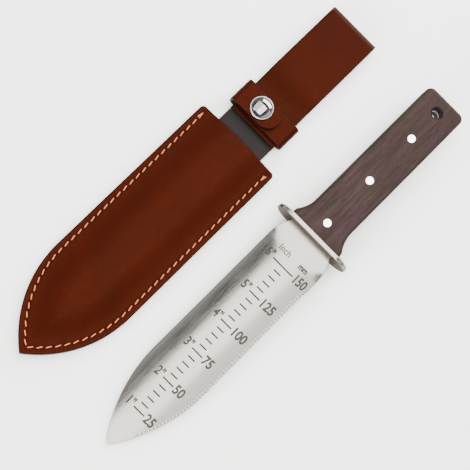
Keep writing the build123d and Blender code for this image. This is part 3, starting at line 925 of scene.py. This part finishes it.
class HORI_OT_welt(Operator):
    """Build the thick welt between the two panels, round the pocket's edge"""

    bl_idname = "hori.welt"
    bl_label = "Welt"

    def execute(self, context):
        sheath = context.scene.hori_sheath
        shape = PocketShape(sheath)
        edge_leather = cut_edge(sheath)

        def top(x, y, inset, edge):
            return POCKET_TOP - round_off(edge, 0.3 * MM)

        def bottom(x, y, inset, edge):
            return WELT_LOW[2] + round_off(edge, 0.3 * MM)

        insets = [0, 0.05, 0.14, 0.28, 0.5, 1.2, 4, 8]
        piece = pocket_skin("welt_leather", shape, insets, top, bottom,
                            [edge_leather, edge_leather, edge_leather])
        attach(piece, "sheath")
        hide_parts("welt")
        return {"FINISHED"}


# ------------------------------------------------------------------ swept leather strips
def leather_strip(name, path, outward, across, half_width, thickness, ends, materials):
    """A strip of leather swept along its middle line: grain outside, flesh inside.

    ends gives how far each place is from the strip's free ends, for their rounded edges.
    """
    shares = np.array([-1, -0.995, -0.985, -0.965, -0.93, -0.87, -0.78, -0.6, -0.4, -0.2])
    shares = np.concatenate([shares, [0], -shares[::-1]])
    reach = half_width[:, None] * shares
    edge = np.minimum(half_width[:, None] - np.abs(reach), ends[:, None])
    drop = round_off(edge, 0.55 * MM)
    rise = thickness / 2 - drop
    middle = path[:, None, :] + across * reach[..., None]
    outer = middle + outward[:, None, :] * rise[..., None]
    inner = middle - outward[:, None, :] * rise[..., None]
    ring = np.concatenate([outer, inner[:, ::-1]], axis=1)
    rows, columns = ring.shape[:2]
    verts = ring.reshape(-1, 3)
    faces = grid_faces(rows, columns, wrap=True)
    side = len(shares)
    kinds = [0] * (side - 1) + [2] + [1] * (side - 1) + [2]
    kind = kinds * (rows - 1)
    for row in (0, rows - 1):
        for column in range(side - 1):
            a, b = row * columns + column, row * columns + column + 1
            c, d = row * columns + columns - 2 - column, row * columns + columns - 1 - column
            faces.append((a, b, c, d))
            kind.append(2)
    edge_burnish_and_shade = 1 - smooth_step(edge / (1.0 * MM))
    edge_burnish_and_shade = np.concatenate([edge_burnish_and_shade, edge_burnish_and_shade[:, ::-1]], axis=1).reshape(-1)
    used, kept = drop_collapsed(verts, faces, kind)
    return make_piece(name, verts, used, materials, kept, edge=edge_burnish_and_shade)


def run_of(start, end, step=2.0 * MM):
    """Even places from start to end, without the last one."""
    count = max(2, round(abs(end - start) / step))
    return np.linspace(start, end, count, endpoint=False)


def level(places, height):
    """Places along a line, all at one height."""
    return np.stack([places, np.full_like(places, height)], -1)


def arc_of(centre, radius, first, last, count):
    """Places round an arc, and the directions outward from its middle."""
    turn = np.radians(np.linspace(first, last, count, endpoint=False))
    ring = np.stack([np.cos(turn), np.sin(turn)], -1)
    return np.array(centre) + radius * ring, ring


def directions(flat):
    """Unit directions along a line of flat places."""
    ahead = np.gradient(flat, axis=0)
    return ahead / np.linalg.norm(ahead, axis=1)[:, None]


class HORI_OT_back_panel(Operator):
    """Build the back of the pocket with its tongue, folded over into the belt loop"""

    bl_idname = "hori.back_panel"
    bl_label = "Back panel and belt loop"

    LOOP_HALF = 18.65 * MM
    FOLD_X = 103.2 * MM
    FOLD_RADIUS = 4.3 * MM
    DROP_FROM, DROP_TO, END_AT = 56 * MM, 37 * MM, 12 * MM
    END_MIDDLE = 5.3 * MM

    def execute(self, context):
        sheath = context.scene.hori_sheath
        materials = [sheath_flesh(sheath), sheath_leather(sheath), cut_edge(sheath)]
        panel = self.panel(sheath, materials)
        loop = self.loop(sheath)
        for piece in (panel, loop):
            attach(piece, "sheath")
        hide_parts("back_panel")
        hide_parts("back_panel")
        return {"FINISHED"}

    def panel(self, sheath, materials):
        """The pocket's back, lying flat on the floor, with a sewing groove in its outer face."""
        def free_edge(x, y, inset, edge):
            past_tongue = smooth_step((np.abs(y) - self.LOOP_HALF) / (0.6 * MM))
            return np.where(MOUTH_X - x <= inset, edge + (1 - past_tongue) * MM, edge)

        def top(x, y, inset, edge):
            return BACK_LOW[2] + LEATHER - round_off(free_edge(x, y, inset, edge), 0.4 * MM)

        def bottom(x, y, inset, edge):
            groove = np.exp(-(((inset - sheath.seam) / (0.62 * MM)) ** 4))
            start = smooth_step((MOUTH_X - x - 2.5 * MM) / (1.5 * MM))
            return (BACK_LOW[2] + round_off(free_edge(x, y, inset, edge), 0.5 * MM)
                    + GROOVE_DEPTH * groove * start)

        return pocket_skin("back_leather", PocketShape(sheath), INSETS, top, bottom, materials)

    def loop(self, sheath):
        """The tongue, its fold and the leg that comes back down to the rivets."""
        low = BACK_LOW[2] + LEATHER / 2
        high = low + 2 * self.FOLD_RADIUS
        tongue = level(run_of(0, self.FOLD_X), low)
        fold, fold_out = arc_of((self.FOLD_X, low + self.FOLD_RADIUS), self.FOLD_RADIUS,
                                -90, 90, 22)
        tip = np.array([1, 0.55, 0.28, 0.14, 0.05, 0]) * MM
        leg_x = np.concatenate([run_of(self.FOLD_X, self.DROP_FROM),
                                run_of(self.DROP_FROM, self.DROP_TO, 0.8 * MM),
                                run_of(self.DROP_TO, self.END_AT + tip[0]), self.END_AT + tip])
        climb = smooth_step((leg_x - self.DROP_TO) / (self.DROP_FROM - self.DROP_TO))
        leg = np.stack([leg_x, self.END_MIDDLE + (high - self.END_MIDDLE) * climb], -1)
        flat = np.concatenate([tongue, fold, leg])
        ahead = directions(flat)
        outward = np.stack([ahead[:, 1], np.zeros(len(ahead)), -ahead[:, 0]], -1)
        path = np.stack([flat[:, 0] + MOUTH_X, np.full(len(flat), SHEATH_Y), flat[:, 1]], -1)
        ends = np.full(len(flat), 10 * MM)
        ends[-len(tip):] = tip
        half = np.full(len(flat), self.LOOP_HALF)
        strip = leather_strip("belt_loop", path, outward, np.array([0, 1, 0]), half, LEATHER,
                              ends, [sheath_leather(sheath), sheath_flesh(sheath),
                                     cut_edge(sheath)])
        cut_away(strip, rivet_recesses())
        return strip


def rivet_recesses():
    """Cylinders that sink the rivet heads into the back of the tongue."""
    low, high = box_of("loop_rivet_posts")
    radius = (high[0] - low[0]) / 2 + 0.03 * MM
    made = bmesh.new()
    for y in (low[1] + radius, high[1] - radius):
        place = Matrix.Translation(((low[0] + high[0]) / 2, y, low[2] - 0.4 * MM))
        bmesh.ops.create_cone(made, cap_ends=True, segments=48, radius1=radius,
                              radius2=radius, depth=2 * MM, matrix=place)
    return add_object("rivet_recesses", mesh_from(made, "rivet_recesses"))


class HORI_OT_strap(Operator):
    """Build the retaining strap, one strip whose upper wing closes over the snap"""

    bl_idname = "hori.strap"
    bl_label = "Retaining strap"

    THICKNESS = 2.0 * MM
    WING_Z = 8.4 * MM
    WING_PAST_SNAP = 8 * MM
    CURL = 2.4 * MM
    BEND_FROM, BEND_TO = 9.5 * MM, 11.2 * MM
    TIPS = np.array([0, 0.05, 0.14, 0.28, 0.55, 1.0, 1.6, 2.3, 3.1, 4.0, 5.0, 6.2, 7.4]) * MM
    TIP_LENGTH = 8.6 * MM

    def execute(self, context):
        sheath = context.scene.hori_sheath
        middle_x = (STRAP_LOW[0] + STRAP_HIGH[0]) / 2
        left = FLAP_HIGH[1] - self.THICKNESS / 2 - SHEATH_Y
        flat = self.middle_line(left)
        ahead = directions(flat)
        outward = np.stack([np.zeros(len(ahead)), ahead[:, 1], -ahead[:, 0]], -1)
        path = np.stack([np.full(len(flat), middle_x), flat[:, 0] + SHEATH_Y, flat[:, 1]], -1)
        width, from_end = self.half_widths(flat, (STRAP_HIGH[0] - STRAP_LOW[0]) / 2)
        strap = leather_strip("strap_leather", path, outward, np.array([1, 0, 0]), width,
                              self.THICKNESS, from_end,
                              [sheath_leather(sheath), sheath_flesh(sheath), cut_edge(sheath)])
        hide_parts("strap", "strap_flap")
        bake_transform(strap)
        return {"FINISHED"}

    def middle_line(self, left):
        """y and z along the strap: right wing, right fold, back, left fold and the flap."""
        back = STRAP_LOW[2] + self.THICKNESS / 2
        flap_z = FLAP_HIGH[2] - self.THICKNESS / 2
        fold = (self.WING_Z - back) / 2
        right = STRAP_LOW[1] + self.THICKNESS / 2 + fold - SHEATH_Y
        wing_end = SNAP_CENTRE[1] - SHEATH_Y + self.WING_PAST_SNAP
        flap_end = FLAP_LOW[1] - SHEATH_Y
        wing = np.concatenate([wing_end - self.TIPS, run_of(wing_end - self.TIP_LENGTH, right)])
        turn_down, _ = arc_of((right, back + fold), fold, 90, 270, 18)
        across_back = run_of(right, left - fold)
        turn_up, _ = arc_of((left - fold, back + fold), fold, -90, 0, 10)
        rise = run_of(back + fold, flap_z - self.CURL, 0.35 * MM)
        curl_over, _ = arc_of((left - self.CURL, flap_z - self.CURL), self.CURL, 0, 90, 12)
        flap = np.concatenate([run_of(left - self.CURL, flap_end + self.TIP_LENGTH),
                               flap_end + self.TIPS[::-1]])
        return np.concatenate([level(wing, self.WING_Z), turn_down, level(across_back, back),
                               turn_up, np.stack([np.full_like(rise, left), rise], -1),
                               curl_over, level(flap, flap_z)])

    def half_widths(self, flat, half):
        """Half of the strap's width along it, rounded at both ends, and how far they are."""
        steps = np.linalg.norm(np.diff(flat, axis=0), axis=1)
        travelled = np.concatenate([[0], np.cumsum(steps)])
        from_end = np.minimum(travelled, travelled[-1] - travelled)
        width = np.full(len(flat), half)
        rounded = from_end < half
        width[rounded] = np.sqrt(np.maximum(half**2 - (half - from_end[rounded]) ** 2, 0))
        return width, from_end


# ------------------------------------------------------------------ sewing
class HORI_OT_stitches(Operator):
    """Sew the pocket's seam with twisted, waxed thread on both faces"""

    bl_idname = "hori.stitches"
    bl_label = "Stitches"

    LENGTH, RADIUS = 3.9 * MM, 0.38 * MM
    HUMP, DIVE = 0.34 * MM, 0.55 * MM
    SLANT = math.radians(11)
    FRONT_SINK, BACK_SINK = 0.2 * MM, 0.78 * MM
    FIRST_FROM_MOUTH = 4.0 * MM

    def execute(self, context):
        sheath = context.scene.hori_sheath
        thread = waxed_thread(list(sheath.thread))
        places = PocketShape(sheath).seam_places(sheath.pitch, self.FIRST_FROM_MOUTH)
        for face, height, up in (("front", POCKET_TOP + LEATHER - self.FRONT_SINK, 1),
                                 ("back", BACK_LOW[2] + self.BACK_SINK, -1)):
            stitches = self.stitches(places, height, up)
            piece = self.sew(f"thread_{face}", stitches, up, thread)
            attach(piece, "sheath")
            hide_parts(f"seam_stitches_{face}")
        return {"FINISHED"}

    def stitches(self, places, height, up):
        """Spot, heading and relative length of each stitch, with a back tack at the mouth."""
        stitches = []
        for side in (1, -1):
            for number, (x, y, heading) in enumerate(places):
                spot = Vector((x, SHEATH_Y + side * y, height))
                turn = side * heading + up * self.SLANT
                stitches.append((spot, turn, 1.0))
                if number == 0:
                    beside = Vector((0.3 * MM, side * 0.55 * MM, up * 0.1 * MM))
                    stitches.append((spot + beside, turn - up * 2 * self.SLANT, 1.15))
        return stitches

    def sew(self, name, stitches, up, thread):
        """Twisted strands, each lying on the leather and diving into its two holes."""
        along = np.linspace(-1, 1, 15)
        round_turn = np.linspace(0, 2 * math.pi, 10, endpoint=False)
        verts, faces = [], []
        for spot, turn, length in stitches:
            direction = np.array([math.cos(turn), math.sin(turn), 0])
            sideways = np.array([-direction[1], direction[0], 0])
            lift = np.array([0, 0, up])
            height = self.HUMP * (1 - np.abs(along) ** 5) - self.DIVE * np.abs(along) ** 9
            swell = self.RADIUS * (1 - 0.35 * np.abs(along) ** 6)
            start = len(verts) * len(round_turn)
            for share, rise, radius in zip(along, height, swell):
                twist = share * 2.6 * math.pi
                lobes = radius * (1 + 0.13 * np.cos(2 * (round_turn - twist)))
                ring = (np.array(spot) + direction * share * length * self.LENGTH / 2
                        + lift * rise + np.outer(lobes * np.cos(round_turn), sideways)
                        + np.outer(lobes * 0.8 * np.sin(round_turn), lift))
                verts.append(ring)
            faces += grid_faces(len(along), len(round_turn), start, wrap=True)
            last = start + (len(along) - 1) * len(round_turn)
            faces.append(tuple(range(start, start + len(round_turn))))
            faces.append(tuple(range(last, last + len(round_turn))))
        return make_piece(name, np.concatenate(verts), faces, [thread], sharp=70)


# ------------------------------------------------------------------ snap and rivets
def lathe(name, profile, centre, material, segments=96):
    """Turns a half section, given as radius and height, about the vertical line at centre."""
    turn = np.linspace(0, 2 * math.pi, segments, endpoint=False)
    verts = [(centre[0] + r * math.cos(a), centre[1] + r * math.sin(a), z)
             for r, z in profile for a in turn]
    faces = grid_faces(len(profile), segments, wrap=True)
    return make_piece(name, verts, faces, [material], sharp=32)


class HORI_OT_fittings(Operator):
    """Build the domed snap cap and finish the snap and rivets"""

    bl_idname = "hori.fittings"
    bl_label = "Snap and rivets"

    BASE = 13.3 * MM
    LIP_WIDTH, LIP_HEIGHT = 1.15 * MM, 0.75 * MM
    LIP_RADIUS = 0.6 * MM

    def execute(self, context):
        # Painted shade: the cap's nickel is much darker than the other nickel parts, to give its
        # reflections dark tones.
        nickel = polished_metal("snap_nickel", [0.22, 0.217, 0.21], 0.07, rim=0.3)
        cap = lathe("snap_cap_dome", self.cap_profile(), SNAP_CENTRE, nickel)
        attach(cap, "strap_flap")
        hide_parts("snap_cap")
        repaint(["snap_socket", "snap_stud", "snap_post"],
                polished_metal("snap_inner_nickel", [0.78, 0.76, 0.73], 0.22))
        repaint(["loop_rivet_posts", "loop_rivet_caps"],
                polished_metal("rivet_nickel", [0.78, 0.76, 0.72], 0.18))
        return {"FINISHED"}

    def cap_profile(self):
        """Radius and height round the cap's half section: dome, rolled lip and flat base."""
        top, radius = CAP_HIGH[2], (CAP_HIGH[0] - CAP_LOW[0]) / 2
        dome = radius - self.LIP_WIDTH
        height = top - self.BASE - self.LIP_HEIGHT
        ball = (dome**2 + height**2) / (2 * height)
        crown = [(r, top - ball + math.sqrt(ball**2 - r**2)) for r in np.linspace(0, dome, 20)]
        lip_x, lip_z = radius - self.LIP_RADIUS - 0.02 * MM, self.BASE + self.LIP_RADIUS
        lip = [(lip_x + self.LIP_RADIUS * math.cos(a),
                lip_z + (self.LIP_RADIUS - 0.02 * MM) * math.sin(a))
               for a in np.radians(np.linspace(150, -75, 18))]
        return crown + lip + [(radius - 2 * self.LIP_RADIUS, self.BASE), (0, self.BASE)]


# ------------------------------------------------------------------ stage
class HORI_OT_stage(Operator):
    """Set the pale floor, the soft lights and the camera"""

    bl_idname = "hori.stage"
    bl_label = "Stage"

    WARM, NEUTRAL, COOL = (1.0, 0.975, 0.94), (1.0, 0.99, 0.97), (0.97, 0.98, 1.0)
    LIGHTS = (
        ("key_light", (0.1, -0.075, 1.065), 1.3, 0.654, 28.0, WARM),
        ("fill_light", (0.1, 0.517, 0.932), 1.3, 0.614, 12.0, WARM),
        ("side_light", (0.1, -0.843, 0.659), 1.3, 0.46, 3.0, COOL),
        ("butt_light", (1.25, 0.0, 0.6), 0.5, 1.3, 38.0, NEUTRAL),
        ("tip_light", (-1.25, 0.0, 0.6), 0.5, 1.3, 38.0, NEUTRAL),
    )
    FLOOR_HALF, FLOOR_FLAT, FLOOR_RISE = 3.2, 1.9, 1.1
    FLOOR_DROP = 0.03 * MM
    WORLD_LIGHT = 0.26
    AIM_HEIGHT = 8 * MM

    def execute(self, context):
        scene = context.scene
        self.floor()
        self.world(scene)
        for light in self.LIGHTS:
            softbox(*light)
        self.camera(scene, scene.hori_stage)
        return {"FINISHED"}

    def floor(self):
        """A wide floor with a softly raised edge, in matt off-white."""
        made = bmesh.new()
        bmesh.ops.create_grid(made, x_segments=40, y_segments=40, size=self.FLOOR_HALF)
        for vert in made.verts:
            away = max(math.hypot(vert.co.x, vert.co.y) - self.FLOOR_FLAT, 0)
            vert.co.z = self.FLOOR_RISE * away**2 - self.FLOOR_DROP
        mesh = mesh_from(made, "floor")
        mesh.shade_smooth()
        shader = Shader("floor_paper")
        shader.set(Roughness=0.9, Specular_IOR_Level=0.1)
        tone = shader.noise((8, 8, 8), detail=2.0)
        shader.use(Base_Color=shader.mix(tone, [0.93, 0.93, 0.93], [0.955, 0.955, 0.955]))
        mesh.materials.append(shader.material)
        add_object("floor", mesh)

    def world(self, scene):
        """An even, faintly cool light from all round."""
        world = bpy.data.worlds.new("studio")
        world.use_nodes = True
        background = world.node_tree.nodes["Background"]
        background.inputs["Color"].default_value = (0.96, 0.97, 1.0, 1.0)
        background.inputs["Strength"].default_value = self.WORLD_LIGHT
        scene.world = world

    def camera(self, scene, stage):
        """Looks down on the tools from near the points, with them turned across the frame."""
        lean, turn = stage.tilt, stage.turn
        along = Vector((math.cos(lean), 0, math.sin(lean)))
        beside = Vector((0, 1, 0))
        back = Vector((-math.sin(lean), 0, math.cos(lean)))
        right = along * math.cos(turn) - beside * math.sin(turn)
        up = along * math.sin(turn) + beside * math.cos(turn)
        lens = bpy.data.cameras.new("camera")
        lens.lens, lens.sensor_width = stage.lens, 36.0
        lens.clip_start, lens.clip_end = 0.01, 20.0
        distance = stage.span * stage.lens / lens.sensor_width
        aim = (Vector((0.0, 0.0, self.AIM_HEIGHT)) + right * stage.shift_right
               + up * stage.shift_up)
        camera = add_object("camera", lens)
        camera.matrix_world = (Matrix.Translation(aim + back * distance)
                               @ Matrix((right, up, back)).transposed().to_4x4())
        scene.camera = camera


def softbox(name, spot, width, height, power, colour):
    """A soft area light that faces the middle of the tools."""
    lamp = bpy.data.lights.new(name, "AREA")
    lamp.shape, lamp.size, lamp.size_y = "RECTANGLE", width, height
    lamp.energy, lamp.color = power, colour
    light = add_object(name, lamp)
    facing = Vector(spot).normalized()
    wide = Vector((0, 1, 0)).cross(facing).normalized()
    light.matrix_world = (Matrix.Translation(spot)
                          @ Matrix((wide, facing.cross(wide), facing)).transposed().to_4x4())


# ------------------------------------------------------------------ panel and registration
OPERATORS = (HORI_OT_blade, HORI_OT_guard, HORI_OT_handle, HORI_OT_back_panel, HORI_OT_welt,
             HORI_OT_front_panel, HORI_OT_stitches, HORI_OT_strap, HORI_OT_fittings,
             HORI_OT_stage)
SETTINGS = {"hori_blade": BladeSettings, "hori_handle": HandleSettings,
            "hori_sheath": SheathSettings, "hori_stage": StageSettings}


class HORI_PT_panel(Panel):
    """Lists the pieces of the knife and sheath in build order"""

    bl_idname = "HORI_PT_panel"
    bl_label = "Knife and Sheath"
    bl_space_type = "VIEW_3D"
    bl_region_type = "UI"
    bl_category = "Hori Hori"

    def draw(self, context):
        for operator in OPERATORS:
            self.layout.operator(operator.bl_idname)


def register():
    """Adds the settings, operators and panel to the program."""
    for made in (*SETTINGS.values(), *OPERATORS, HORI_PT_panel):
        bpy.utils.register_class(made)
    for name, group in SETTINGS.items():
        setattr(bpy.types.Scene, name, PointerProperty(type=group))


def unregister():
    """Takes them out again, last ones first."""
    for name in SETTINGS:
        delattr(bpy.types.Scene, name)
    for made in (HORI_PT_panel, *reversed(OPERATORS), *SETTINGS.values()):
        bpy.utils.unregister_class(made)


def main():
    """Builds every piece and the stage."""
    register()
    for operator in OPERATORS:
        family, name = operator.bl_idname.split(".")
        getattr(getattr(bpy.ops, family), name)()


if __name__ == "__main__":
    main()
